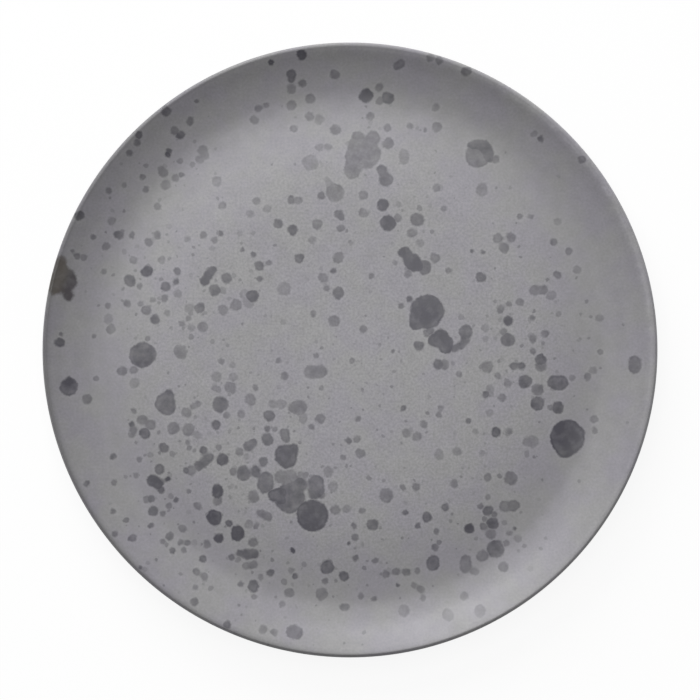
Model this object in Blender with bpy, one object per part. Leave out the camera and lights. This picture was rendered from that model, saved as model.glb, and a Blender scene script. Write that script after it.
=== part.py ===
"""Lunch plate: a turned coupe plate of stoneware with glaze coats fused to it.

Metres, +Z up. The origin is on the plate's axis, in the plane that the foot ring stands on.
Every piece is a solid of revolution, so the whole plate follows from one outline of the clay:
from the axis across the floor, up the wall, over the lip, down the underside, round the foot
ring and back to the axis. A coat is the strip between two offsets of a stretch of that outline.
"""
import math

import bpy

MM = 0.001
SEGMENTS = 60

# Overall size in millimetres, measured over the glaze
DIAMETER = 220.0
HEIGHT = 16.8
LIP_RADIUS = 1.2

# Fired thickness of a coat, and the hairline between a coat and the clay or the next coat
GLAZE = 0.4
BOND = 0.05
SEAM = 0.1

# Face: a floor that is flat in the middle and falls to a valley, then a wall that curves up
VALLEY_RADIUS = 88.8
DOME_HEIGHT = 2.8
DOME_POWER = 7
WALL_CURVE_END = 105.5
WALL_ANGLE = math.radians(35.0)

# Underside: almost level outside the foot, then a belly that is steeper than the wall, so that
# the wall thickens downwards
BELLY_START = 86.9
BELLY_END = 105.0
BELLY_ANGLE = math.radians(38.5)
UNDERSIDE_TILT = 0.02
FLOOR_THICKNESS = 6.3

# Foot ring: bare clay below the glaze line, which runs along the lower end of each fillet
FOOT_OUTER = 66.0
FOOT_INNER = 61.5
FOOT_FILLET = 1.5
FOOT_ROUND = 0.8

# Facets along each stretch of the outline
DOME_STEPS = 6
WALL_STEPS = 5
LIP_STEPS = 6
BELLY_STEPS = 5
FILLET_STEPS = 3
ROUND_STEPS = 2
WELL_STEPS = 3

# Colours are linear RGB
GREY_GLAZE = (0.240, 0.236, 0.250)
PALE_GLAZE = (0.270, 0.266, 0.276)
BARE_CLAY = (0.376, 0.314, 0.254)

COAT = GLAZE + BOND
CLAY_LIP = LIP_RADIUS - COAT
LIP_CENTRE = (DIAMETER / 2 - LIP_RADIUS, HEIGHT - LIP_RADIUS)
WALL_SLOPE = math.tan(WALL_ANGLE)


def rising(radius, start, end, slope):
    """Height gained by a parabola that is level at start and runs straight, at a slope, from end on."""
    along = min(max((radius - start) / (end - start), 0.0), 1.0)
    return slope * ((end - start) / 2 * along ** 2 + max(radius - end, 0.0))


def arc(centre, radius, first, last, steps):
    """Points on an arc, with both ends, for angles in degrees from +R towards +Z."""
    points = []
    for step in range(steps + 1):
        angle = math.radians(first + (last - first) * step / steps)
        points.append((centre[0] + radius * math.cos(angle), centre[1] + radius * math.sin(angle)))
    return points


def along_curve(height, radii):
    """Points on the curve whose height is a function of the radius."""
    return [(radius, height(radius)) for radius in radii]


def spread(first, last, steps):
    """Evenly spaced values with both ends."""
    return [first + (last - first) * step / steps for step in range(steps + 1)]


LIP_START = 90 + math.degrees(WALL_ANGLE)
LIP_END = math.degrees(BELLY_ANGLE) - 90
LIP_ARC = arc(LIP_CENTRE, CLAY_LIP, LIP_START, LIP_END, LIP_STEPS)


def face_height(radius):
    """Clay height of the eating face, hung from the inner end of the lip's arc."""
    lip_radius, lip_height = LIP_ARC[0]
    valley = lip_height - rising(lip_radius, VALLEY_RADIUS, WALL_CURVE_END, WALL_SLOPE)
    if radius > VALLEY_RADIUS:
        return valley + rising(radius, VALLEY_RADIUS, WALL_CURVE_END, WALL_SLOPE)
    return valley + DOME_HEIGHT * (1 - (radius / VALLEY_RADIUS) ** DOME_POWER) ** 2


def underside_height(radius):
    """Clay height of the back outside the foot, hung from the outer end of the lip's arc."""
    lip_radius, lip_height = LIP_ARC[-1]
    belly_slope = math.tan(BELLY_ANGLE) - UNDERSIDE_TILT
    belly = rising(lip_radius, BELLY_START, BELLY_END, belly_slope)
    belly -= rising(radius, BELLY_START, BELLY_END, belly_slope)
    return lip_height - belly - UNDERSIDE_TILT * (lip_radius - radius)


def well_height(radius):
    """Clay height of the recess inside the foot ring, which keeps the floor evenly thick."""
    return face_height(radius) - FLOOR_THICKNESS


def clay_outline():
    """The clay's outline, with the places where coats end: over the lip, and at the foot."""
    floor_radii = [VALLEY_RADIUS * math.sqrt(step / DOME_STEPS) for step in range(DOME_STEPS)]
    wall_radii = spread(VALLEY_RADIUS, WALL_CURVE_END, WALL_STEPS)
    outline = along_curve(face_height, floor_radii + wall_radii) + LIP_ARC
    lip_end = len(outline) - 1

    seam_radius = LIP_ARC[-1][0] - SEAM * math.cos(BELLY_ANGLE)
    belly_radii = spread(BELLY_END, BELLY_START, BELLY_STEPS)
    outline += along_curve(underside_height, [seam_radius] + belly_radii)

    outer_fillet_radius = FOOT_OUTER + FOOT_FILLET
    outer_fillet_height = underside_height(outer_fillet_radius) - FOOT_FILLET
    outline += arc((outer_fillet_radius, outer_fillet_height), FOOT_FILLET, 90, 180, FILLET_STEPS)
    outer_line = len(outline) - 1

    outline += arc((FOOT_OUTER - FOOT_ROUND, FOOT_ROUND), FOOT_ROUND, 0, -90, ROUND_STEPS)
    outline += arc((FOOT_INNER + FOOT_ROUND, FOOT_ROUND), FOOT_ROUND, -90, -180, ROUND_STEPS)

    inner_line = len(outline)
    well_radius = FOOT_INNER - FOOT_FILLET
    inner_fillet_height = well_height(well_radius) - FOOT_FILLET
    outline += arc((well_radius, inner_fillet_height), FOOT_FILLET, 0, 90, FILLET_STEPS)
    outline += along_curve(well_height, spread(well_radius, 0.0, WELL_STEPS)[1:])
    return outline, lip_end, outer_line, inner_line


def unit_normal(start, end):
    """Outward normal of one straight stretch of the outline."""
    run, rise = end[0] - start[0], end[1] - start[1]
    length = math.hypot(run, rise)
    return -rise / length, run / length


def offset(outline, distance):
    """The outline moved outwards by a distance, corner by corner, with both ends on the axis."""
    normals = [unit_normal(start, end) for start, end in zip(outline, outline[1:])]
    top, bottom = (0.0, 1.0), (0.0, -1.0)
    moved = []
    for point, before, after in zip(outline, [None] + normals, normals + [None]):
        if before is None or after is None:
            normal = top if before is None else bottom
            stretch = 1.0
        else:
            stretch = 2 / (2 + 2 * (before[0] * after[0] + before[1] * after[1]))
            normal = (before[0] + after[0], before[1] + after[1])
        moved.append((point[0] + normal[0] * stretch * distance,
                      point[1] + normal[1] * stretch * distance))
    return moved


def glazed_material(name, colour, roughness):
    material = bpy.data.materials.new(name)
    material.use_nodes = True
    shader = material.node_tree.nodes["Principled BSDF"]
    shader.inputs["Base Color"].default_value = (*colour, 1.0)
    shader.inputs["Roughness"].default_value = roughness
    shader.inputs["Metallic"].default_value = 0.0
    material.diffuse_color = (*colour, 1.0)
    return material


def turned(name, outline, material, parent, closed=False):
    """A solid of revolution about Z. A closed outline makes a ring that stays off the axis."""
    points = [(radius * MM, 0.0, height * MM) for radius, height in outline]
    edges = [(index, index + 1) for index in range(len(points) - 1)]
    if closed:
        edges.append((len(points) - 1, 0))
    mesh = bpy.data.meshes.new(name)
    mesh.from_pydata(points, edges, [])
    mesh.materials.append(material)

    solid = bpy.data.objects.new(name, mesh)
    bpy.context.scene.collection.objects.link(solid)
    solid.parent = parent
    screw = solid.modifiers.new("turning", "SCREW")
    screw.axis = "Z"
    screw.angle = 2 * math.pi
    screw.steps = SEGMENTS
    screw.render_steps = SEGMENTS
    screw.use_merge_vertices = True
    screw.merge_threshold = 0.00001
    screw.use_smooth_shade = True
    return solid


def build_plate():
    for old in list(bpy.data.objects):
        bpy.data.objects.remove(old, do_unlink=True)
    plate = bpy.data.objects.new("plate", None)
    bpy.context.scene.collection.objects.link(plate)

    clay, lip_end, outer_line, inner_line = clay_outline()
    bonded = offset(clay, BOND)
    glazed = offset(clay, COAT)
    back_start = lip_end + 1

    turned("stoneware_body", clay, glazed_material("bare_clay", BARE_CLAY, 0.85), plate)

    face = glazed[:lip_end + 1] + bonded[lip_end::-1]
    turned("face_glaze", face, glazed_material("grey_face_glaze", GREY_GLAZE, 0.4), plate)

    back = glazed[back_start:outer_line + 1] + bonded[outer_line:back_start - 1:-1]
    back_material = glazed_material("grey_back_glaze", GREY_GLAZE, 0.42)
    turned("underside_glaze", back, back_material, plate, closed=True)

    well = bonded[:inner_line - 1:-1] + glazed[inner_line:]
    turned("foot_well_glaze", well, glazed_material("pale_well_glaze", PALE_GLAZE, 0.42), plate)


build_plate()
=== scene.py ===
"""Lunch plate: the looks of a turned stoneware plate with a spattered satin glaze.

Each solid of the frame is replaced by a finely turned piece with nearly the same outline. The dark
drops of the glaze are placed one by one, and the fine specks around them are scattered by rule.
Lengths are in millimetres. Only what is read in the photograph is in its pixels, and the meshes and
the places of camera, lamps and floor are in metres.
"""
import math

import bmesh
import bpy
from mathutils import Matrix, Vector


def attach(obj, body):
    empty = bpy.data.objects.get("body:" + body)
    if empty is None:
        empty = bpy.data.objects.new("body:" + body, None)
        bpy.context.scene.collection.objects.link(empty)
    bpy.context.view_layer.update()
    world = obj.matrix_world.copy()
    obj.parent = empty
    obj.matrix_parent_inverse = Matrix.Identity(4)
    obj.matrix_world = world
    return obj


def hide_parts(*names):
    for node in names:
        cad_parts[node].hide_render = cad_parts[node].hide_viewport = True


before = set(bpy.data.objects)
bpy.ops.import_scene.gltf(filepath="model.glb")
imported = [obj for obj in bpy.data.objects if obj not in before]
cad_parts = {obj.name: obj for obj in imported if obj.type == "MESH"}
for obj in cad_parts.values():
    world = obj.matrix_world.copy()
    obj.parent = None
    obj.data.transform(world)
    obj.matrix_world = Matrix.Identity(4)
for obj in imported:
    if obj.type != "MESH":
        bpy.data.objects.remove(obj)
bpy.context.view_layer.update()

MM = 0.001

# Facets around the axis, the angle of a sharp edge, and the radius below which a point is on the axis
SEGMENTS = 256
SHARP_ANGLE = math.radians(50)
ON_AXIS = 0.03

# Outline of the plate: that of the solids, within 0.6 mm, with a softer valley and a finer lip
DIAMETER = 220.0
HEIGHT = 16.8
LIP_RADIUS = 0.95
GLAZE = 0.4
BOND = 0.05
VALLEY_RADIUS = 88.6
DOME_HEIGHT = 3.0
DOME_POWER = 8
DOME_BEND = 2.5
WALL_CURVE_END = 105.5
WALL_ANGLE = math.radians(36.9)
WALL_BEND = 1.2
BELLY_START = 86.9
BELLY_END = 105.0
BELLY_ANGLE = math.radians(38.5)
UNDERSIDE_TILT = 0.02
FLOOR_THICKNESS = 6.3
FOOT_OUTER = 66.0
FOOT_INNER = 61.5
FOOT_FILLET = 1.5
FOOT_ROUND = 0.8

# Hairline where the face coat meets the back coat, and the rounded bead of a coat at a wiped line
SEAM = 0.01
BEAD_LENGTH = 0.6
BEAD_SWELL = 0.25
BEAD_TIP = 0.03

# Facets along each stretch of the outline
FLOOR_STEPS = 45
WALL_STEPS = 26
LIP_STEPS = 28
BELLY_STEPS = 26
BACK_STEPS = 8
FILLET_STEPS = 16
ROUND_STEPS = 8
WELL_STEPS = 24

# The photograph: its width, the plate's width and centre in pixels, and the height of the camera
PHOTO_WIDTH = 700
PLATE_IN_PHOTO = 615
PLATE_CENTRE = (349.8, 350.25)
CAMERA_HEIGHT = 2.2
SENSOR = 36.0

# Drops of dark glaze on the face by tone, read in the photograph: x, y and radius in pixels
DARK_DROPS = [
    (427, 312, 17), (416, 323, 7), (568, 438, 17.5), (566, 450, 9), (312, 516, 16), (286, 458, 11),
    (214, 518, 8), (152, 481, 6), (157, 484, 6), (404, 252, 6), (408, 257, 5), (412, 262, 9),
    (418, 266, 6), (441, 336, 7), (435, 341, 7), (446, 344, 8), (446, 348, 6), (388, 223, 8),
    (383, 205, 6), (366, 95, 7), (253, 587, 6), (237, 532, 6), (237, 536, 6), (218, 539, 5),
    (217, 490, 5), (217, 495, 5), (222, 460, 6), (216, 425, 5), (152, 512, 5), (469, 529, 5),
    (496, 433, 5), (508, 321, 5), (409, 299, 3), (252, 296, 6), (212, 270, 4), (208, 275, 5),
    (204, 281, 5), (146, 272, 6), (292, 230, 5), (167, 155, 3), (301, 55, 5), (271, 63, 3),
    (293, 449, 5), (281, 452, 6), (287, 450, 5), (292, 552, 3), (167, 480, 3), (274, 496, 6),
    (280, 494, 6), (281, 501, 5), (202, 560, 4),
]
STRONG_DROPS = [
    (289, 499, 15), (300, 485, 7), (294, 489, 7), (316, 483, 8), (316, 491, 8), (312, 495, 4),
    (265, 480, 8), (265, 486, 8), (142, 355, 13), (165, 404, 10), (168, 395, 5), (168, 409, 6),
    (68, 387, 9), (68, 379, 2), (59, 343, 5), (472, 145, 4), (478, 144, 5), (484, 146, 6),
    (488, 151, 6), (489, 157, 5), (424, 268, 7), (430, 331, 4), (455, 349, 4), (461, 346, 4),
    (466, 332, 7), (465, 341, 4), (419, 346, 5), (417, 220, 7), (382, 170, 5), (386, 180, 7),
    (388, 97, 6), (291, 74, 5), (291, 80, 3), (481, 277, 5), (508, 340, 7), (525, 382, 7),
    (555, 383, 7), (562, 383, 7), (541, 360, 6), (538, 404, 7), (558, 408, 6), (514, 366, 4),
    (522, 366, 4), (438, 365, 5), (486, 395, 4), (496, 550, 9), (488, 511, 5), (493, 524, 6),
    (445, 508, 4), (427, 518, 5), (405, 513, 3), (418, 526, 3), (372, 525, 6), (433, 562, 6),
    (433, 566, 6), (327, 568, 7), (344, 577, 5), (355, 559, 3), (374, 600, 3), (342, 608, 3),
    (346, 608, 3), (295, 577, 3), (220, 405, 8), (269, 416, 6), (267, 440, 6), (267, 429, 3),
    (285, 434, 5), (285, 438, 5), (248, 447, 5), (253, 443, 4), (263, 462, 5), (144, 434, 6),
    (131, 425, 3), (163, 449, 5), (209, 458, 4.5), (204, 462, 4.5), (198, 466, 5), (203, 451, 4),
    (243, 472, 6), (243, 475, 6), (255, 470, 4), (255, 474, 4), (160, 490, 4), (229, 524, 4),
    (253, 555, 5), (246, 555, 5), (239, 554, 3), (231, 558, 3), (169, 537, 4), (180, 543, 3),
    (172, 551, 3), (175, 501, 3), (150, 526, 3), (270, 574, 4), (240, 585, 3), (112, 457, 3),
    (140, 567, 2), (166, 112, 5), (139, 135, 4), (179, 135, 4), (168, 151, 3), (181, 175, 3),
    (79, 216, 5), (118, 235, 5), (131, 235, 3), (278, 223, 5), (129, 281, 6), (165, 287, 5),
    (177, 272, 4), (175, 282, 3), (154, 319, 5), (214, 290, 6), (226, 278, 5), (220, 234, 3),
    (242, 250, 2), (253, 255, 3), (259, 266, 5), (269, 263, 3), (299, 258, 5), (291, 200, 4),
    (321, 196, 4), (338, 213, 4), (341, 217, 3), (338, 293, 6), (333, 271, 3), (199, 308, 5),
    (403, 409, 3), (468, 421, 3), (348, 441, 3), (393, 351, 2), (472, 251, 2), (483, 252, 2.5),
    (182, 133, 2), (349, 544, 2), (515, 529, 2), (398, 586, 2), (150, 500, 4), (259, 279, 3),
    (186, 471, 3), (159, 470, 5), (162, 514, 3), (187, 544, 3),
]
SOFT_DROPS = [
    (365, 153, 16), (356, 146, 9), (354, 158, 9), (352, 170, 9), (373, 137, 7), (358, 137, 6),
    (335, 192, 9), (478, 155, 12.5), (292, 486, 10), (280, 477, 6), (289, 477, 7), (363, 213, 5),
    (61, 334, 2), (363, 195, 5), (427, 333, 4), (398, 218, 4), (412, 233, 5), (435, 258, 5),
    (408, 274, 4), (387, 127, 4), (388, 143, 6), (370, 116, 4), (379, 87, 4), (380, 100, 4),
    (397, 66, 4), (401, 63, 4), (439, 61, 4), (466, 72, 5), (302, 83, 4), (410, 126, 3),
    (425, 129, 2), (437, 127, 5), (437, 188, 4), (444, 208, 3), (498, 238, 5), (511, 237, 5),
    (504, 248, 5), (558, 275, 4), (554, 242, 4), (570, 251, 4), (449, 271, 3), (535, 290, 5),
    (544, 290, 5), (520, 302, 4), (509, 304, 3), (501, 309, 4), (533, 318, 3), (504, 332, 4),
    (533, 339, 4), (545, 334, 4), (533, 351, 3), (401, 306, 3), (363, 329, 4), (352, 361, 3),
    (487, 367, 6), (444, 365, 5), (459, 374, 3), (541, 366, 6), (538, 390, 6), (551, 408, 3),
    (498, 376, 3), (508, 384, 4), (502, 398, 4), (601, 352, 3), (588, 377, 4), (595, 420, 4),
    (595, 431, 3), (635, 362, 6), (635, 368, 6), (496, 159, 4), (582, 160, 4), (541, 139, 3),
    (521, 216, 3), (511, 479, 7), (505, 507, 6), (514, 507, 6), (488, 478, 4), (481, 506, 3),
    (494, 515, 3), (491, 535, 5), (510, 534, 3), (507, 544, 3), (483, 557, 6), (466, 562, 6),
    (466, 568, 6), (475, 573, 4), (504, 568, 5), (386, 496, 7), (403, 488, 3), (417, 437, 5),
    (424, 424, 4), (441, 408, 3), (439, 415, 3), (509, 432, 3), (406, 434, 4), (360, 454, 5),
    (357, 440, 4), (358, 420, 3), (343, 458, 3), (416, 487, 4), (454, 484, 4), (437, 532, 3),
    (435, 548, 4), (396, 573, 4), (406, 573, 4), (417, 572, 3), (414, 586, 3), (421, 590, 4),
    (423, 599, 3), (362, 511, 3), (354, 527, 3), (355, 538, 4), (375, 562, 3), (361, 597, 3),
    (325, 582, 3), (321, 595, 6), (289, 594, 5), (292, 633, 6), (297, 633, 6), (282, 605, 3),
    (254, 597, 3), (260, 578, 3), (227, 625, 4), (194, 602, 4), (196, 573, 4), (204, 578, 4),
    (132, 539, 4), (115, 534, 3), (113, 512, 3), (180, 352, 7), (86, 400, 5), (95, 379, 3),
    (93, 336, 2), (121, 371, 5), (133, 370, 4), (250, 400, 6), (255, 388, 3), (278, 361, 3),
    (311, 372, 7), (320, 372, 7), (316, 355, 3), (284, 376, 4), (230, 388, 6), (221, 362, 3),
    (295, 408, 7), (300, 408, 7), (320, 419, 5), (311, 427, 3), (275, 430, 3), (226, 416, 3),
    (241, 415, 4), (198, 404, 3), (193, 406, 3), (186, 413, 5), (188, 430, 6), (173, 429, 6),
    (133, 411, 3), (141, 420, 5), (150, 425, 5), (132, 430, 4), (131, 436, 3), (139, 460, 3),
    (135, 476, 3), (113, 483, 3), (86, 484, 3), (191, 471, 5), (239, 452, 4), (233, 472, 4),
    (253, 497, 6), (217, 501, 5), (197, 507, 4), (335, 510, 5), (321, 495, 4), (146, 500, 4),
    (168, 507, 3), (260, 514, 4), (267, 517, 5), (256, 526, 3), (386, 575, 4), (484, 527, 4),
    (182, 530, 4), (206, 545, 4), (253, 543, 5), (246, 567, 4), (253, 566, 4), (162, 542, 3),
    (183, 551, 3), (310, 98, 5), (291, 105, 5), (335, 74, 5), (266, 105, 3), (258, 108, 4),
    (254, 119, 4), (309, 116, 4), (294, 128, 4), (335, 129, 5), (190, 119, 3), (189, 122, 3),
    (174, 130, 4), (137, 143, 4), (129, 153, 3), (197, 101, 2), (179, 161, 3), (161, 169, 4),
    (163, 173, 4), (165, 185, 5), (175, 178, 4), (142, 177, 3), (145, 189, 3), (202, 150, 5),
    (206, 156, 3), (199, 159, 4), (108, 191, 3), (157, 206, 4), (222, 205, 4), (256, 201, 4),
    (298, 200, 4), (317, 224, 5), (341, 228, 4), (105, 246, 4), (93, 237, 3), (77, 256, 3),
    (72, 251, 2), (156, 235, 4), (148, 242, 4), (203, 235, 4), (214, 240, 3), (133, 260, 4),
    (103, 272, 3), (139, 286, 3), (126, 303, 4), (107, 306, 3), (146, 310, 5), (164, 299, 4),
    (188, 318, 3), (181, 324, 3), (202, 327, 5), (223, 310, 5), (236, 305, 6), (338, 258, 6),
    (323, 278, 5), (326, 288, 3), (313, 314, 3), (371, 276, 3), (334, 321, 6), (187, 443, 3),
    (110, 329, 5),
]
FAINT_DROPS = [
    (310, 162, 8), (284, 289, 7), (319, 119, 5), (319, 147, 4), (328, 147, 4), (404, 153, 5),
    (404, 159, 5), (420, 244, 4), (529, 442, 6), (533, 442, 6), (404, 612, 6), (448, 616, 6),
    (480, 611, 6), (464, 597, 4), (439, 455, 5), (457, 452, 5), (490, 389, 4), (490, 394, 4),
    (134, 383, 5), (281, 404, 5), (272, 404, 4), (328, 472, 5), (333, 487, 5), (346, 510, 4),
    (248, 525, 4), (216, 181, 5), (111, 221, 4), (161, 260, 4), (177, 294, 4), (189, 308, 5),
    (107, 319, 5), (191, 328, 4), (245, 294, 5), (248, 303, 5), (250, 214, 4), (267, 209, 4),
    (552, 296, 5), (558, 221, 4), (578, 270, 4), (600, 318, 4), (216, 377, 5), (233, 377, 4),
    (303, 419, 5), (214, 388, 3), (291, 89, 5), (518, 539, 4), (594, 371, 4), (274, 633, 4),
    (187, 239, 3), (222, 290, 4), (140, 303, 3), (166, 313, 3), (232, 365, 3), (197, 435, 4),
    (246, 457, 3), (436, 107, 4), (327, 180, 3), (330, 185, 4), (398, 205, 3), (312, 240, 4),
    (350, 243, 3), (395, 263, 3), (486, 328, 4), (490, 413, 4), (573, 378, 3), (302, 477, 5),
    (430, 58, 4), (482, 187, 5), (482, 192, 5), (531, 216, 3), (263, 630, 4), (195, 588, 3),
    (152, 300, 3), (534, 134, 3), (488, 498, 3), (559, 314, 3), (475, 432, 3), (291, 571, 3),
]

# Each tone with its depth, and how pale its drops turn in patches
TONES = [
    (0.97, 0.88, DARK_DROPS), (0.82, 0.78, STRONG_DROPS), (0.63, 0.70, SOFT_DROPS),
    (0.45, 0.60, FAINT_DROPS),
]

# How near drops run together, half the width of their soft edge, the size of their pale and deep
# patches, and how deep they turn there
DROP_NECK = 2.0
DROP_EDGE = 0.42
PATCH_SIZE = 3.2
PATCH_DEEPEST = 1.15

# Noise that makes the edges of drops uneven: its size, and how far it moves them
WOBBLE = [(4.5, 1.6), (1.6, 0.9), (0.7, 0.45)]

# Some places have drops with a paler ring inside, and all drops have a faint pale halo outside:
# distance from a drop's edge, and share of the shade or of the glaze's colour
RING_PLACES_SIZE = 9.0
RING_PLACES = (0.45, 0.62)
PALE_RING = [(-6.0, 1.0), (-2.6, 0.97), (-1.1, 0.84), (-0.4, 1.0), (0.0, 1.0)]
HALO = [(0.0, 1.0), (0.5, 1.04), (1.3, 1.0)]
FAR_FROM_DROPS = 50.0

# The stain on the wall at the left, read in the same way: drops that run together, with a soft edge
# and patches. It turns from brown to violet in one direction, between two places along it
STAIN = [(64, 281, 12.5), (61, 262, 5.5), (60, 268, 6.5), (56, 279, 7), (55, 288, 7), (68, 296, 5)]
STAIN_EDGE = 0.6
STAIN_PATCHES = (0.8, 1.05)
STAIN_DIRECTION = (1.0, -0.3, 0.0)
STAIN_TURN = (-111.5, -107.5)

# Layers of fine specks on face and back: spacing, largest radius and seed. The smallest radius is a
# share of the largest, the edge is soft between two distances, and the depth lies between two levels
FACE_SPECKS = [(8.0, 1.2, 311.0), (4.2, 0.7, 173.0)]
BACK_SPECKS = (6.0, 0.8, 57.0)
SMALLEST_SPECK = 0.35
SPECK_EDGE = (0.2, -0.25)
SPECK_DEPTH = (0.15, 0.55)

# Clouds of fine specks: x, y, radius and density, and the share of the radius that is evenly dense
CLOUDS = [
    (-60.0, 22.0, 48.0, 0.55), (-45.0, -45.0, 55.0, 0.75), (-5.0, -20.0, 50.0, 0.45),
    (10.0, 55.0, 45.0, 0.40), (60.0, 0.0, 42.0, 0.55), (45.0, -55.0, 40.0, 0.40),
    (-65.0, 65.0, 40.0, 0.35), (-20.0, -85.0, 45.0, 0.50), (0.0, 0.0, 125.0, 0.16),
]
CLOUD_CORE = 0.3

# Part of a noise's range that is stretched to the full one: as a rule, for drift and for grain
NOISE_RANGE = (0.3, 0.7)
DRIFT_RANGE = (0.35, 0.65)
GRAIN_RANGE = (0.25, 0.75)

# Plain glaze: size of the drift between its two greys, and size and depth of its grain. On the face
# the grain is full in the middle, and fades to a share on the wall between two radii
DRIFT_SIZE = 16.0
FINE_GRAIN = (0.9, 0.22)
COARSE_GRAIN = (4.5, 0.06)
WALL_GRAIN_SHARE = 0.45
GRAIN_FADE = (90.0, 55.0)
BACK_GRAIN_SHARE = 0.7

# Gloss of the glaze: size of smooth and dull places, their roughness on face and back, what a drop
# takes from it, and the sizes and height of the ripple
ROUGHNESS_SIZE = 5.0
FACE_ROUGHNESS = (0.40, 0.47)
BACK_ROUGHNESS = (0.38, 0.46)
DROP_GLOSS = 0.04
FINE_RIPPLE = 0.8
WIDE_RIPPLE = 3.5
GLAZE_RELIEF = 0.006

# Bare clay: size of its drift in colour, spacing and edge of its dark grains, size and roughness of
# its dull places, and size and height of its sandy relief
CLAY_DRIFT_SIZE = 6.0
CLAY_GRAIN = 0.9
CLAY_GRAIN_EDGE = (0.22, 0.12)
CLAY_ROUGHNESS_SIZE = 0.5
CLAY_ROUGHNESS = (0.78, 0.92)
CLAY_SAND = 0.4
CLAY_RELIEF = 0.05

# Colours are linear RGB
VIOLET_GREY = (0.243, 0.235, 0.259)
OLIVE_GREY = (0.249, 0.246, 0.250)
DROP_TINT = (0.115, 0.110, 0.150)
STAIN_BROWN = (0.30, 0.265, 0.22)
STAIN_VIOLET = (0.15, 0.132, 0.147)
BACK_GREY = (0.245, 0.238, 0.258)
WELL_GREY = (0.262, 0.257, 0.268)
WARMER = (1.02, 1.02, 0.98)
CLAY = (0.376, 0.314, 0.254)
CLAY_PALE = (0.42, 0.36, 0.30)
CLAY_DARK = (0.250, 0.195, 0.150)

# How the glaze's colour is darkened by radius, from the middle to the lip: radius and share of its
# colour
# Darkest in the valley at the foot of the wall, and a little darker in a ring round the middle
RADIAL_TONE = [(0.0, 1.0), (35.0, 0.95), (55.0, 0.94), (68.0, 0.98), (77.0, 0.99), (83.0, 0.92),
           (87.0, 0.83), (90.0, 0.76), (94.0, 0.83), (97.0, 0.91), (101.0, 0.98), (108.0, 0.98)]
# A darker band along the crest of the lip
LIP_TONE = [(107.8, 1.0), (108.5, 0.85), (108.9, 0.62), (109.3, 0.60), (109.7, 0.90), (110.0, 1.0)]

# The lip has a painted highlight towards one bearing and painted shade on the other side: radius, and
# share added or taken. The painted highlight fades with a power of the cosine, and the painted shade is
# full from one cosine on
LIP_BEARING = 45.0
LIP_HIGHLIGHT_POWER = 2.0
LIP_SHADE_FULL = -0.7
LIP_PAINTED_HIGHLIGHT = [(106.0, 0.0), (107.2, 0.12), (107.8, 0.34), (108.5, 0.58), (109.4, 0.72), (110.0, 0.72)]
LIP_PAINTED_SHADE = [(106.8, 0.0), (107.4, 0.08), (108.2, 0.12), (108.7, 0.26), (109.1, 0.53), (109.5, 0.15),
            (110.0, 0.12)]

# Lamps: bearing in degrees, share of a plain level, angle from overhead, distance and size in metres
LIGHT_BEARING = 110.0
KEY = {"level": 0.50, "zenith": 57.0, "distance": 3.0, "size": 2.0}
SOFTBOX = {"level": 0.38, "zenith": 13.0, "distance": 1.5, "size": 0.7}

# Surroundings: how much they light the plate, and how bright backdrop and floor look
SKY_LEVEL = 0.13
BACKDROP = 0.97
FLOOR_SIZE = 6.0
FLOOR_GLOW = 0.91
FLOOR_GREY = 0.09
FLOOR_BOUNCE = 0.30

COAT = GLAZE + BOND
CLAY_LIP = LIP_RADIUS - COAT
LIP_CENTRE = (DIAMETER / 2 - LIP_RADIUS, HEIGHT - LIP_RADIUS)
WALL_SLOPE = math.tan(WALL_ANGLE)


def rising(radius, start, end, slope, bend=1.0):
    """Height gained by a curve that is level at start and runs straight, at a slope, from end on."""
    along = min(max((radius - start) / (end - start), 0.0), 1.0)
    return slope * ((end - start) / (bend + 1) * along ** (bend + 1) + max(radius - end, 0.0))


def arc(centre, radius, first, last, steps):
    """Points on an arc, with both ends, for angles in degrees from +R towards +Z."""
    points = []
    for step in range(steps + 1):
        angle = math.radians(first + (last - first) * step / steps)
        points.append((centre[0] + radius * math.cos(angle), centre[1] + radius * math.sin(angle)))
    return points


def along_curve(height, radii):
    """Points on the curve whose height is a function of the radius."""
    return [(radius, height(radius)) for radius in radii]


def spread(first, last, steps):
    """Evenly spaced values with both ends."""
    return [first + (last - first) * step / steps for step in range(steps + 1)]


LIP_START = 90 + math.degrees(WALL_ANGLE)
LIP_END = math.degrees(BELLY_ANGLE) - 90
LIP_ARC = arc(LIP_CENTRE, CLAY_LIP, LIP_START, LIP_END, LIP_STEPS)


def face_height(radius):
    """Clay height of the eating face, hung from the inner end of the lip's arc."""
    lip_radius, lip_height = LIP_ARC[0]
    valley = lip_height - rising(lip_radius, VALLEY_RADIUS, WALL_CURVE_END, WALL_SLOPE, WALL_BEND)
    if radius > VALLEY_RADIUS:
        return valley + rising(radius, VALLEY_RADIUS, WALL_CURVE_END, WALL_SLOPE, WALL_BEND)
    return valley + DOME_HEIGHT * (1 - (radius / VALLEY_RADIUS) ** DOME_POWER) ** DOME_BEND


def underside_height(radius):
    """Clay height of the back outside the foot, hung from the outer end of the lip's arc."""
    lip_radius, lip_height = LIP_ARC[-1]
    belly_slope = math.tan(BELLY_ANGLE) - UNDERSIDE_TILT
    belly = rising(lip_radius, BELLY_START, BELLY_END, belly_slope)
    belly -= rising(radius, BELLY_START, BELLY_END, belly_slope)
    return lip_height - belly - UNDERSIDE_TILT * (lip_radius - radius)


def well_height(radius):
    """Clay height of the recess inside the foot ring, which keeps the floor evenly thick."""
    return face_height(radius) - FLOOR_THICKNESS


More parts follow.
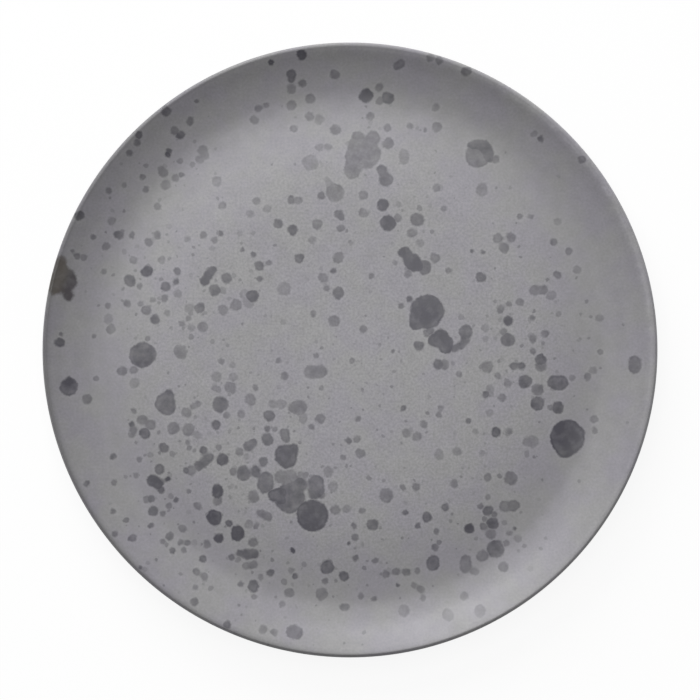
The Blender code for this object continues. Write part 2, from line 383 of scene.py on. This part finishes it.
def clay_outline():
    """The clay's outline, with the places where coats end: over the lip, and at the foot."""
    face_radii = spread(0.0, VALLEY_RADIUS, FLOOR_STEPS)
    face_radii += spread(VALLEY_RADIUS, LIP_ARC[0][0], WALL_STEPS)[1:-1]
    outline = along_curve(face_height, face_radii) + LIP_ARC
    lip_end = len(outline) - 1

    seam_radius = LIP_ARC[-1][0] - SEAM * math.cos(BELLY_ANGLE)
    outer_fillet_radius = FOOT_OUTER + FOOT_FILLET
    back_radii = spread(seam_radius, BELLY_START, BELLY_STEPS)
    back_radii += spread(BELLY_START, outer_fillet_radius, BACK_STEPS)[1:-1]
    outline += along_curve(underside_height, back_radii)

    outer_fillet_height = underside_height(outer_fillet_radius) - FOOT_FILLET
    outline += arc((outer_fillet_radius, outer_fillet_height), FOOT_FILLET, 90, 180, FILLET_STEPS)
    outer_line = len(outline) - 1

    outline += arc((FOOT_OUTER - FOOT_ROUND, FOOT_ROUND), FOOT_ROUND, 0, -90, ROUND_STEPS)
    outline += arc((FOOT_INNER + FOOT_ROUND, FOOT_ROUND), FOOT_ROUND, -90, -180, ROUND_STEPS)

    inner_line = len(outline)
    well_radius = FOOT_INNER - FOOT_FILLET
    inner_fillet_height = well_height(well_radius) - FOOT_FILLET
    outline += arc((well_radius, inner_fillet_height), FOOT_FILLET, 0, 90, FILLET_STEPS)
    outline += along_curve(well_height, spread(well_radius, 0.0, WELL_STEPS)[1:])
    return outline, lip_end, outer_line, inner_line


def unit_normal(start, end):
    """Outward normal of one straight stretch of the outline."""
    run, rise = end[0] - start[0], end[1] - start[1]
    length = math.hypot(run, rise)
    return -rise / length, run / length


def offset(outline, distances):
    """The outline moved outwards, point by point, with both ends kept on the axis."""
    normals = [unit_normal(start, end) for start, end in zip(outline, outline[1:])]
    normals = [(0.0, 1.0)] + normals + [(0.0, -1.0)]
    moved = []
    for point, before, after, distance in zip(outline, normals, normals[1:], distances):
        stretch = 2 / (2 + 2 * (before[0] * after[0] + before[1] * after[1]))
        radius = point[0] + (before[0] + after[0]) * stretch * distance
        height = point[1] + (before[1] + after[1]) * stretch * distance
        moved.append((0.0 if point[0] < ON_AXIS else radius, height))
    return moved


def distances_from(outline, index):
    """Distance of every point from one point, measured along the outline."""
    steps = [math.dist(start, end) for start, end in zip(outline, outline[1:])]
    return [sum(steps[min(index, other):max(index, other)]) for other in range(len(outline))]


def coat_thickness(outline, lines):
    """Thickness of the coat at every point: it swells, then rounds off, at each wiped line."""
    thickness = [COAT] * len(outline)
    bead_reach = 4 * BEAD_LENGTH
    for line in lines:
        for index, away in enumerate(distances_from(outline, line)):
            if away > bead_reach:
                continue
            short = 1 - min(away / BEAD_LENGTH, 1.0)
            swell = 1 + BEAD_SWELL * math.exp(-(away / BEAD_LENGTH - 1) ** 2)
            thickness[index] = BOND + BEAD_TIP + (GLAZE * swell - BEAD_TIP) * math.sqrt(1 - short ** 2)
    return thickness


def skin(mesh, ring, following):
    """Faces between two rings, either of which may be a single point on the axis."""
    for index in range(SEGMENTS):
        corners = [ring[index % len(ring)], ring[(index + 1) % len(ring)],
                   following[(index + 1) % len(following)], following[index % len(following)]]
        mesh.faces.new(dict.fromkeys(corners))


def turned(name, outline, material, closed=False):
    """A piece turned about Z. A closed outline makes a ring that stays off the axis."""
    solid = bmesh.new()
    rings = []
    for radius, height in outline:
        count = SEGMENTS if radius > 0 else 1
        angles = [2 * math.pi * index / SEGMENTS for index in range(count)]
        rings.append([solid.verts.new((radius * MM * math.cos(angle), radius * MM * math.sin(angle),
                                       height * MM)) for angle in angles])
    for ring, following in zip(rings, rings[1:] + rings[:1] * closed):
        skin(solid, ring, following)
    bmesh.ops.recalc_face_normals(solid, faces=solid.faces)
    mesh = bpy.data.meshes.new(name)
    solid.to_mesh(mesh)
    solid.free()
    mesh.shade_smooth()
    mesh.set_sharp_from_angle(angle=SHARP_ANGLE)
    mesh.materials.append(material)
    piece = bpy.data.objects.new(name, mesh)
    bpy.context.scene.collection.objects.link(piece)
    return piece


def unroll(piece, outline, shown):
    """Texture map for baking: the shown side as one disc, and the hidden side small in a corner."""
    along = distances_from(outline, 0)
    disc_centre, disc_radius, corner_radius = 0.5, 0.499, 0.08
    places = []
    for index, (radius, _) in enumerate(outline):
        place = (disc_centre, disc_radius * along[index] / along[shown - 1])
        if index >= shown:
            place = (corner_radius, corner_radius * radius * 2 / DIAMETER)
        places += [place] * (SEGMENTS if radius > 0 else 1)
    layer = piece.data.uv_layers.new(name="OFBake")
    for loop in piece.data.loops:
        vertex = piece.data.vertices[loop.vertex_index].co
        centre, reach = places[loop.vertex_index]
        angle = math.atan2(vertex.y, vertex.x)
        layer.data[loop.index].uv = (centre + reach * math.cos(angle), centre + reach * math.sin(angle))


class Graph:
    """Short calls that build one material's node tree."""

    def __init__(self, name):
        self.material = bpy.data.materials.new(name)
        self.material.use_nodes = True
        self.tree = self.material.node_tree
        self.shader = self.tree.nodes["Principled BSDF"]

    def feed(self, socket, value):
        if isinstance(value, bpy.types.NodeSocket):
            self.tree.links.new(value, socket)
        else:
            socket.default_value = value

    def add(self, kind, inputs, **settings):
        node = self.tree.nodes.new(kind)
        for key, value in settings.items():
            setattr(node, key, value)
        for key, value in inputs.items():
            self.feed(node.inputs[key], value)
        return node

    def math(self, operation, *values):
        return self.add("ShaderNodeMath", dict(enumerate(values)), operation=operation).outputs[0]

    def vector(self, operation, first, second):
        inputs = {0: first, "Scale" if operation == "SCALE" else 1: second}
        node = self.add("ShaderNodeVectorMath", inputs, operation=operation)
        scalar = operation in ("DISTANCE", "LENGTH", "DOT_PRODUCT")
        return node.outputs["Value" if scalar else "Vector"]

    def ramp(self, value, start, end, low=0.0, high=1.0, smooth=True):
        inputs = {"Value": value, "From Min": start, "From Max": end, "To Min": low, "To Max": high}
        shape = "SMOOTHSTEP" if smooth else "LINEAR"
        return self.add("ShaderNodeMapRange", inputs, interpolation_type=shape).outputs["Result"]

    def steps(self, value, stops):
        """A level that runs through stops, each a place on the value's way and the level there."""
        start, end = stops[0][0], stops[-1][0]
        node = self.add("ShaderNodeValToRGB", {"Fac": self.ramp(value, start, end, smooth=False)})
        elements = node.color_ramp.elements
        while len(elements) < len(stops):
            elements.new(0.5)
        for element, (place, level) in zip(elements, stops):
            element.position = (place - start) / (end - start)
            element.color = (level, level, level, 1.0)
        return node.outputs["Color"]

    def mix(self, share, first, second, blend="MIX"):
        node = self.add("ShaderNodeMix", {"Factor": share}, data_type="RGBA", blend_type=blend)
        for index, value in ((6, first), (7, second)):
            self.feed(node.inputs[index], (*value, 1.0) if isinstance(value, tuple) else value)
        return node.outputs[2]

    def noise(self, place, size, detail=2.0, output="Fac"):
        """Noise whose features are about as wide as size, in millimetres."""
        inputs = {"Vector": place, "Scale": 1 / size, "Detail": detail, "Roughness": 0.55}
        return self.add("ShaderNodeTexNoise", inputs).outputs[output]

    def millimetres(self):
        where = self.add("ShaderNodeTexCoord", {}).outputs["Object"]
        return self.vector("SCALE", where, 1 / MM)

    def finish(self, colour, roughness, height, relief):
        """Sets the shader's colour, roughness and bump, whose relief is in millimetres."""
        inputs = {"Height": height, "Strength": 1.0, "Distance": relief * MM}
        bump = self.add("ShaderNodeBump", inputs).outputs["Normal"]
        self.feed(self.shader.inputs["Base Color"], colour)
        self.feed(self.shader.inputs["Roughness"], roughness)
        self.feed(self.shader.inputs["Normal"], bump)
        return self.material


def wobbled(graph, place):
    """The place moved a little by noise, so that round drops get uneven edges."""
    for size, reach in WOBBLE:
        push = graph.noise(place, size, output="Color")
        push = graph.vector("SUBTRACT", push, (0.5, 0.5, 0.5))
        push = graph.vector("MULTIPLY", push, (reach, reach, 0.0))
        place = graph.vector("ADD", place, push)
    return place


def drop_field(graph, place, drops):
    """Distance to the edge of the nearest drop, negative inside it. Close drops run together."""
    pixel = DIAMETER / PLATE_IN_PHOTO
    field = None
    for x, y, radius in drops:
        centre = ((x - PLATE_CENTRE[0]) * pixel, (PLATE_CENTRE[1] - y) * pixel, 0.0)
        away = graph.vector("DISTANCE", place, centre)
        edge = graph.math("SUBTRACT", away, radius * pixel)
        field = edge if field is None else graph.math("SMOOTH_MIN", field, edge, DROP_NECK)
    return field


def cloud_density(graph, place):
    """How dense the fine specks are at a place."""
    density = 0.0
    for x, y, radius, most in CLOUDS:
        away = graph.vector("DISTANCE", place, (x, y, 0.0))
        here = graph.ramp(away, radius, radius * CLOUD_CORE, high=most)
        density = graph.math("MAXIMUM", here, density)
    return density


def specks(graph, place, spacing, largest, seed):
    """Shade of fine specks: each cell of a scattered grid holds one speck or none."""
    shifted = graph.vector("ADD", place, (seed, seed, 0.0))
    inputs = {"Vector": shifted, "Scale": 1 / spacing}
    cells = graph.add("ShaderNodeTexVoronoi", inputs, voronoi_dimensions="2D").outputs
    parts = graph.add("ShaderNodeSeparateColor", {"Color": cells["Color"]}).outputs
    centre = graph.vector("SUBTRACT", cells["Position"], (seed, seed, 0.0))
    kept = graph.math("LESS_THAN", parts["Green"], cloud_density(graph, centre))
    share = graph.ramp(parts["Red"], 0.0, 1.0, SMALLEST_SPECK, 1.0, False)
    size = graph.math("MULTIPLY", share, largest)
    away = graph.math("MULTIPLY", cells["Distance"], spacing)
    edge = graph.math("SUBTRACT", away, size)
    cover = graph.math("MULTIPLY", graph.ramp(edge, *SPECK_EDGE), kept)
    return graph.math("MULTIPLY", cover, graph.ramp(parts["Blue"], 0.0, 1.0, *SPECK_DEPTH, False))


def glaze_ground(graph, place, first, second, grain_share):
    """Colour of the plain glaze: two greys that drift into each other, with a fine grain."""
    drift = graph.ramp(graph.noise(place, DRIFT_SIZE, 3.0), *DRIFT_RANGE)
    colour = graph.mix(drift, first, second)
    for (size, depth), share in ((FINE_GRAIN, grain_share), (COARSE_GRAIN, 1.0)):
        grain = graph.noise(place, size, 3.0)
        grain = graph.ramp(grain, *GRAIN_RANGE, 1 - depth, 1 + depth, False)
        colour = graph.mix(share, colour, grain, "MULTIPLY")
    return colour


def lip_painted_light(graph, flat, uneven, radius):
    """Painted highlight and painted shade along the lip: a share of the colour above 1 on the lit side
    and below 1 on the other.
    """
    bearing = math.radians(LIP_BEARING)
    side = graph.vector("DOT_PRODUCT", flat, (math.cos(bearing), math.sin(bearing), 0.0))
    side = graph.math("DIVIDE", side, graph.math("MAXIMUM", radius, 1.0))
    pale = graph.math("POWER", graph.math("MAXIMUM", side, 0.0), LIP_HIGHLIGHT_POWER)
    wandering = graph.vector("LENGTH", uneven, (0.0, 0.0, 0.0))
    pale = graph.math("MULTIPLY", pale, graph.steps(wandering, LIP_PAINTED_HIGHLIGHT))
    dark = graph.ramp(side, 0.0, LIP_SHADE_FULL, 0.0, -1.0, False)
    dark = graph.math("MULTIPLY", dark, graph.steps(radius, LIP_PAINTED_SHADE))
    return graph.math("ADD", graph.math("ADD", pale, dark), 1.0)


def drop_shade(graph, flat, uneven, patches):
    """Shade of drops and specks, and the distance to the edge of the nearest drop."""
    shade, nearest = 0.0, FAR_FROM_DROPS
    for strength, palest, drops in TONES:
        field = drop_field(graph, uneven, drops)
        cover = graph.ramp(field, DROP_EDGE, -DROP_EDGE, high=strength)
        patched = graph.ramp(patches, 0.0, 1.0, palest, PATCH_DEEPEST, False)
        cover = graph.math("MULTIPLY", cover, patched)
        shade = graph.math("MAXIMUM", cover, shade)
        nearest = graph.math("MINIMUM", field, nearest)
    ringed = graph.ramp(graph.noise(flat, RING_PLACES_SIZE, 1.0), *RING_PLACES)
    ring = graph.steps(nearest, PALE_RING)
    shade = graph.math("MULTIPLY", shade, graph.mix(ringed, (1.0, 1.0, 1.0), ring))
    for layer in FACE_SPECKS:
        shade = graph.math("MAXIMUM", specks(graph, uneven, *layer), shade)
    return shade, nearest


def stained(graph, uneven, patches, colour):
    """The colour with the stain laid over it."""
    stain = graph.ramp(drop_field(graph, uneven, STAIN), STAIN_EDGE, -STAIN_EDGE)
    stain = graph.math("MULTIPLY", stain, graph.ramp(patches, 0.0, 1.0, *STAIN_PATCHES, False))
    along = graph.vector("DOT_PRODUCT", uneven, STAIN_DIRECTION)
    tint = graph.mix(graph.ramp(along, *STAIN_TURN), STAIN_BROWN, STAIN_VIOLET)
    return graph.mix(stain, colour, graph.mix(1.0, colour, tint, "MULTIPLY"))


def glaze_relief(graph, place):
    """Fine ripple of a satin glaze."""
    return graph.math("ADD", graph.noise(place, FINE_RIPPLE, 2.0), graph.noise(place, WIDE_RIPPLE, 1.0))


def glaze_roughness(graph, place, levels):
    """Roughness of a satin glaze, which varies between two levels."""
    return graph.ramp(graph.noise(place, ROUGHNESS_SIZE, 3.0), *NOISE_RANGE, *levels, False)


def face_glaze():
    """Cool grey satin glaze with drops of dark glaze that have sunk into it, and a painted highlight
    and painted shade on the lip.
    """
    graph = Graph("spattered_face_glaze")
    place = graph.millimetres()
    flat = graph.vector("MULTIPLY", place, (1.0, 1.0, 0.0))
    uneven = wobbled(graph, flat)
    patches = graph.ramp(graph.noise(flat, PATCH_SIZE, 2.0), *NOISE_RANGE, smooth=False)
    shade, nearest = drop_shade(graph, flat, uneven, patches)

    radius = graph.vector("LENGTH", flat, (0.0, 0.0, 0.0))
    grain_share = graph.ramp(radius, *GRAIN_FADE, WALL_GRAIN_SHARE, 1.0)
    colour = glaze_ground(graph, flat, VIOLET_GREY, OLIVE_GREY, grain_share)
    # Darkened by radius: in the valley at the foot of the wall, and along the crest of the lip
    for stops in (RADIAL_TONE, LIP_TONE):
        colour = graph.mix(1.0, colour, graph.steps(radius, stops), "MULTIPLY")
    # Painted highlight on one side of the lip and painted shade on the other
    colour = graph.mix(1.0, colour, lip_painted_light(graph, flat, uneven, radius), "MULTIPLY")
    colour = graph.mix(1.0, colour, graph.steps(nearest, HALO), "MULTIPLY")
    colour = graph.mix(shade, colour, graph.mix(1.0, colour, DROP_TINT, "MULTIPLY"))
    colour = stained(graph, uneven, patches, colour)

    roughness = glaze_roughness(graph, place, FACE_ROUGHNESS)
    roughness = graph.math("SUBTRACT", roughness, graph.math("MULTIPLY", shade, DROP_GLOSS))
    return graph.finish(colour, roughness, glaze_relief(graph, place), GLAZE_RELIEF)


def plain_glaze(name, colour):
    """The same satin glaze with fine specks only, for the sides that face the table."""
    graph = Graph(name)
    place = graph.millimetres()
    flat = graph.vector("MULTIPLY", place, (1.0, 1.0, 0.0))
    warmer = tuple(level * share for level, share in zip(colour, WARMER))
    ground = glaze_ground(graph, place, colour, warmer, BACK_GRAIN_SHARE)
    shade = specks(graph, flat, *BACK_SPECKS)
    ground = graph.mix(shade, ground, graph.mix(1.0, ground, DROP_TINT, "MULTIPLY"))
    roughness = glaze_roughness(graph, place, BACK_ROUGHNESS)
    return graph.finish(ground, roughness, glaze_relief(graph, place), GLAZE_RELIEF)


def bare_clay():
    """Dry fired stoneware: warm, sandy and speckled with dark grains."""
    graph = Graph("bare_stoneware")
    place = graph.millimetres()
    drift = graph.ramp(graph.noise(place, CLAY_DRIFT_SIZE, 4.0), *NOISE_RANGE)
    colour = graph.mix(drift, CLAY, CLAY_PALE)
    inputs = {"Vector": place, "Scale": 1 / CLAY_GRAIN}
    grains = graph.add("ShaderNodeTexVoronoi", inputs).outputs["Distance"]
    colour = graph.mix(graph.ramp(grains, *CLAY_GRAIN_EDGE), colour, CLAY_DARK)
    roughness = graph.noise(place, CLAY_ROUGHNESS_SIZE, 2.0)
    roughness = graph.ramp(roughness, *NOISE_RANGE, *CLAY_ROUGHNESS, False)
    return graph.finish(colour, roughness, graph.noise(place, CLAY_SAND, 3.0), CLAY_RELIEF)


def add_plate():
    """The four turned pieces, each in the place of its solid."""
    clay, lip_end, outer_line, inner_line = clay_outline()
    bonded = offset(clay, [BOND] * len(clay))
    glazed = offset(clay, coat_thickness(clay, (outer_line, inner_line)))
    back_start = lip_end + 1
    face = glazed[:lip_end + 1] + bonded[lip_end::-1]
    back = glazed[back_start:outer_line + 1] + bonded[outer_line:back_start - 1:-1]
    well = bonded[:inner_line - 1:-1] + glazed[inner_line:]

    face_coat = turned("face_coat", face, face_glaze())
    unroll(face_coat, face, lip_end + 1)
    back_coat = turned("back_coat", back, plain_glaze("speckled_back_glaze", BACK_GREY), closed=True)
    well_coat = turned("foot_well_coat", well, plain_glaze("speckled_well_glaze", WELL_GREY))
    body = turned("clay_body", clay, bare_clay())
    for piece, node, slot in ((face_coat, "face_glaze", "face_glaze"),
                              (back_coat, "underside_glaze", "back_glaze"),
                              (well_coat, "foot_well_glaze", "well_glaze"),
                              (body, "stoneware_body", "bare_clay")):
        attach(piece, "root")
        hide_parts(node)


def add_camera():
    """A long lens straight above the plate, with the plate as wide as in the photograph."""
    camera = bpy.data.cameras.new("camera")
    camera.sensor_width = SENSOR
    share = PLATE_IN_PHOTO / PHOTO_WIDTH
    camera.lens = SENSOR * share * (CAMERA_HEIGHT - LIP_CENTRE[1] * MM) / (DIAMETER * MM)
    holder = bpy.data.objects.new("camera", camera)
    holder.location = (0.0, 0.0, CAMERA_HEIGHT)
    bpy.context.scene.collection.objects.link(holder)
    bpy.context.scene.camera = holder


def add_lamp(name, level, zenith, distance, size):
    """A square lamp aimed at the plate. A level of 1 shows a white surface on the floor as white."""
    lamp = bpy.data.lights.new(name, "AREA")
    lamp.shape = "SQUARE"
    lamp.size = size
    lamp.energy = level * math.pi ** 2 * distance ** 2 / math.cos(math.radians(zenith))
    bearing = math.radians(LIGHT_BEARING)
    out = math.sin(math.radians(zenith))
    up = math.cos(math.radians(zenith))
    holder = bpy.data.objects.new(name, lamp)
    holder.location = Vector((out * math.cos(bearing), out * math.sin(bearing), up)) * distance
    holder.rotation_euler = holder.location.to_track_quat("Z", "Y").to_euler()
    holder.visible_camera = False
    bpy.context.scene.collection.objects.link(holder)


def seen_rays(tree):
    """1 for rays that show the background: from the camera, or mirrored or let through by a piece."""
    path = tree.nodes.new("ShaderNodeLightPath")
    seen = path.outputs["Is Camera Ray"]
    for name in ("Is Glossy Ray", "Is Transmission Ray"):
        either = tree.nodes.new("ShaderNodeMath")
        either.operation = "MAXIMUM"
        tree.links.new(seen, either.inputs[0])
        tree.links.new(path.outputs[name], either.inputs[1])
        seen = either.outputs[0]
    return seen


def add_sky():
    """Even pale surroundings, which light the plate less than they show."""
    world = bpy.data.worlds.new("studio")
    world.use_nodes = True
    tree = world.node_tree
    light = tree.nodes["Background"]
    light.inputs["Color"].default_value = (1.0, 1.0, 1.0, 1.0)
    light.inputs["Strength"].default_value = SKY_LEVEL
    shown = tree.nodes.new("ShaderNodeBackground")
    shown.inputs["Color"].default_value = (1.0, 1.0, 1.0, 1.0)
    shown.inputs["Strength"].default_value = BACKDROP
    choice = tree.nodes.new("ShaderNodeMixShader")
    tree.links.new(seen_rays(tree), choice.inputs[0])
    tree.links.new(light.outputs[0], choice.inputs[1])
    tree.links.new(shown.outputs[0], choice.inputs[2])
    tree.links.new(choice.outputs[0], tree.nodes["World Output"].inputs["Surface"])
    bpy.context.scene.world = world


def floor_material():
    """A pale floor that keeps a soft shadow."""
    material = bpy.data.materials.new("pale_floor")
    material.use_nodes = True
    tree = material.node_tree
    tree.nodes.remove(tree.nodes["Principled BSDF"])
    bounce = tree.nodes.new("ShaderNodeBsdfDiffuse")
    bounce.inputs["Color"].default_value = (FLOOR_BOUNCE, FLOOR_BOUNCE, FLOOR_BOUNCE, 1.0)
    matte = tree.nodes.new("ShaderNodeBsdfDiffuse")
    matte.inputs["Color"].default_value = (FLOOR_GREY, FLOOR_GREY, FLOOR_GREY, 1.0)
    glow = tree.nodes.new("ShaderNodeEmission")
    glow.inputs["Strength"].default_value = FLOOR_GLOW
    pale = tree.nodes.new("ShaderNodeAddShader")
    tree.links.new(matte.outputs[0], pale.inputs[0])
    tree.links.new(glow.outputs[0], pale.inputs[1])
    choice = tree.nodes.new("ShaderNodeMixShader")
    tree.links.new(seen_rays(tree), choice.inputs[0])
    tree.links.new(bounce.outputs[0], choice.inputs[1])
    tree.links.new(pale.outputs[0], choice.inputs[2])
    tree.links.new(choice.outputs[0], tree.nodes["Material Output"].inputs["Surface"])
    return material


def add_floor():
    """A wide level floor under the plate, which belongs to the stage."""
    half = FLOOR_SIZE / 2
    mesh = bpy.data.meshes.new("floor")
    mesh.from_pydata([(-half, -half, 0), (half, -half, 0), (half, half, 0), (-half, half, 0)], [],
                     [(0, 1, 2, 3)])
    mesh.materials.append(floor_material())
    floor = bpy.data.objects.new("floor", mesh)
    bpy.context.scene.collection.objects.link(floor)


add_plate()
add_camera()
add_lamp("key", **KEY)
add_lamp("softbox", **SOFTBOX)
add_sky()
add_floor()
bpy.context.scene.view_settings.view_transform = "Standard"
